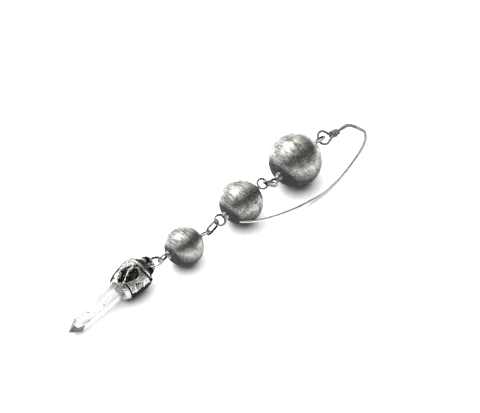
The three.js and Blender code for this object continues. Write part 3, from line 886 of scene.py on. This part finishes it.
def skull_cap():
    """The cast cap: a turned dome with the skull's relief, facets on the dome and a socket."""
    rows, columns = CAP_ROWS, CAP_COLUMNS
    outline = np.array(CAP_PROFILE)
    step = np.concatenate([[0], np.cumsum(np.linalg.norm(np.diff(outline, axis=0), axis=1))])
    at = np.linspace(0, step[-1], rows)
    rings = smooth_path([(r, 0, z) for r, z in outline], rows - 1)
    turn = np.linspace(-180, 180, columns, endpoint=False)
    turn_grid, z_grid = np.meshgrid(turn, rings[:, 2])
    relief = skull_relief(turn_grid, z_grid)
    fade = np.clip(at / 1.2, 0, 1)[:, None]
    facets = 1 - np.abs((((turn_grid + 6 * z_grid) / FACET_TURN) % 1) - 0.5) * 2
    facets = np.clip(1.6 * facets - 0.25, 0, 1) * np.clip((z_grid - DOME_FOOT) / 0.5, 0, 1)
    relief = (relief - 0.45 * facets) * fade
    rough = np.array([[noise.noise(Vector((cos(radians(t)) * 4, sin(radians(t)) * 4, z)) * 2.3)
                       for t in turn] for z in rings[:, 2]])
    relief = relief + 0.07 * rough * fade
    radius = np.clip(rings[:, 0][:, None] + relief, 0.001, CAP_LIMIT)
    angle = np.radians(turn_grid)
    skin = np.stack([radius * np.cos(angle), radius * np.sin(angle), z_grid], axis=-1)
    verts, faces = skin.reshape(-1, 3) * MM, grid_faces(rows, columns)
    bore = [(BORE_RADIUS, CAP_PROFILE[-1][1]), (BORE_RADIUS, BORE_TOP), (0, BORE_TOP)]
    well, well_faces = lathe([(r * MM, z * MM) for r, z in bore], columns)
    well = placed((well, well_faces), Matrix.Rotation(pi, 4, "Z"))[0]
    faces += [tuple(i + len(verts) for i in face) for face in well_faces]
    rim = (rows - 1) * columns
    faces += [(rim + j, rim + (j + 1) % columns, len(verts) + (j + 1) % columns,
               len(verts) + j) for j in range(columns)]
    wear_and_painted_shade = 0.64 + 0.85 * relief + 0.3 * rough - dark_places(turn_grid, z_grid, facets)
    striped = 0.06 + 0.3 * np.clip(np.sin(np.abs(turn_grid)), 0, 1) + 0.25 * np.clip(rough, 0, 1)
    wear_and_painted_shade = np.clip(wear_and_painted_shade, striped, 1).reshape(-1)
    wear_and_painted_shade = np.concatenate([wear_and_painted_shade, np.full(columns, 0.8), np.full(len(well) - columns, 0.1)])
    verts = placed((np.vstack([verts, well]), faces), PENDANT)[0]
    verts[:, 2] = np.maximum(verts[:, 2], RESTS_AT)
    made = make_mesh("skull_cap_body", (verts, faces), CAST, wear_and_painted_shade)
    piece(made, "pendant", "cast_silver", "skull_cap")


BAIL_OUTLINE = ((-3.2, 3.6), (3.2, 3.6), (2.8, 6), (1.7, 7.8), (-2, 7.8), (-3, 6.2))
BAIL_STEPS = 72
BAIL_HOLE_RADIUS = 1.02 * MM
BAIL_SECTION = ((0, -0.75), (0.16, -1.02), (1, -1.04),  # (share of the way in to the hole, depth)
                (1, 1.04), (0.16, 1.02), (0, 0.75))


def bail():
    """The drilled tab over the dome that the lower ring goes through."""
    across = (PENDANT.inverted().to_3x3() @ lower_ring_frame().to_3x3().col[0]).normalized()
    turned = Matrix.Rotation(np.arctan(-across.x / across.y), 4, "Z")
    rounded = smooth_path([(x, 0, z) for x, z in BAIL_OUTLINE], BAIL_STEPS, closed=True) * MM
    square = smooth_path(
        [p for a, b in zip(BAIL_OUTLINE, BAIL_OUTLINE[1:] + BAIL_OUTLINE[:1])
         for p in ((a[0], 0, a[1]), ((a[0] + b[0]) / 2, 0, (a[1] + b[1]) / 2))],
        BAIL_STEPS, closed=True) * MM
    outline = 0.35 * rounded + 0.65 * square
    hole_z = (BAIL_Z + 0.1) * MM
    rings = []
    for inward, depth in BAIL_SECTION:
        for out in outline:
            a = np.arctan2(out[2] - hole_z, out[0])
            hole = np.array([BAIL_HOLE_RADIUS * cos(a), 0, hole_z + BAIL_HOLE_RADIUS * sin(a)])
            rings.append(out + (hole - out) * inward + np.array([0, depth * MM, 0]))
    faces = grid_faces(len(BAIL_SECTION), BAIL_STEPS, close_rows=True)
    made = make_mesh("skull_cap_bail", placed((np.array(rings), faces), PENDANT @ turned), CAST)
    add_worn(made, lambda co: 0.25 + 0.3 * (np.sin(co[:, 0] * 2600) > 0.4))
    piece(made, "pendant", "cast_silver")


CRYSTAL_SIDES = ((2, 2.36), (58, 2.25), (121, 2.34), (182, 2.36), (239, 2.28), (301, 2.32))
CRYSTAL_TOP = -2.15
CRYSTAL_RINGS = ((CRYSTAL_TOP, 1.1), (-6.4, 1.08), (-13, 1.03))  # (height, growth in width)
CRYSTAL_SHOULDERS = (-20.6, -21.8, -20.4, -21.6, -20.9, -21.4)
CRYSTAL_TIP = (0.25, -0.15, -25.15)


def crystal():
    """A six sided quartz prism, each side a little different, with an off-centre point whose every
    other facet is dark as a painted reflection.
    """
    rings = []
    for z, grow in CRYSTAL_RINGS:
        rings.append([(r * grow * cos(radians(a)), r * grow * sin(radians(a)), z)
                      for a, r in CRYSTAL_SIDES])
    rings.append([(r * cos(radians(a)), r * sin(radians(a)), z)
                  for (a, r), z in zip(CRYSTAL_SIDES, CRYSTAL_SHOULDERS)])
    verts = [np.array(p) * MM for ring in rings for p in ring]
    count = len(CRYSTAL_SIDES)
    faces = grid_faces(len(rings), count)
    verts += [np.array((0, 0, CRYSTAL_TOP)) * MM, np.array(CRYSTAL_TIP) * MM]
    top, tip = len(verts) - 2, len(verts) - 1
    last = (len(rings) - 1) * count
    faces += [(j, (j + 1) % count, top) for j in range(count)]
    faces += [(last + j, last + (j + 1) % count, tip) for j in range(count)]
    made = make_mesh("crystal_point_body", placed((verts, faces), PENDANT), QUARTZ, smooth=False)
    made.data.materials.append(PAINTED_REFLECTION_FACETS)
    made.data.materials.append(EDGE)
    for face in list(made.data.polygons)[-count::2]:  # every other facet of the point, dark as a painted reflection
        face.material_index = 1
    edges = made.modifiers.new("worn edges", "BEVEL")
    edges.width = 0.06 * MM
    edges.segments = 2
    edges.limit_method = "ANGLE"
    edges.material = 2  # the slot of EDGE
    piece(made, "pendant", "quartz", "crystal_point")


FLAW_COUNT = 11
FLAW_THICKNESS = 0.03 * MM


def crystal_flaws():
    """Thin healed cracks inside the crystal."""
    shapes = []
    for k in range(FLAW_COUNT):
        size = (0.22 + 0.13 * (k * 3 % 5)) * MM
        disc = [(0, 0)] + [(size * r, 0.04 * MM * sin(5 * r + k)) for r in (0.4, 0.75, 1)]
        flaw = lathe(disc + [(r, h - FLAW_THICKNESS) for r, h in reversed(disc)], 14)
        turn = Matrix.Rotation(1.7 * k, 4, "Z") @ Matrix.Rotation(0.9 + 0.5 * sin(3 * k), 4, "X")
        slant = radians(40 + 83 * k % 130)
        at = Vector((1.45 * cos(slant), 1.45 * sin(slant), -7.3 - 1.25 * k)) * MM
        long = Matrix.Diagonal((0.45, 1, 1, 1))
        shapes.append(placed(flaw, Matrix.Translation(at) @ turn @ long))
    verts, faces = merged(*shapes)
    bent = wobble(verts, 0.12 * MM, 900)
    made = make_mesh("crystal_flaws", placed((bent, faces), PENDANT), FLAW)
    piece(made, "pendant", "quartz")


skull_cap()
bail()
crystal()
crystal_flaws()
resin_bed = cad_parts["resin_bed"]
resin_bed.data.materials.clear()
resin_bed.data.materials.append(RESIN)
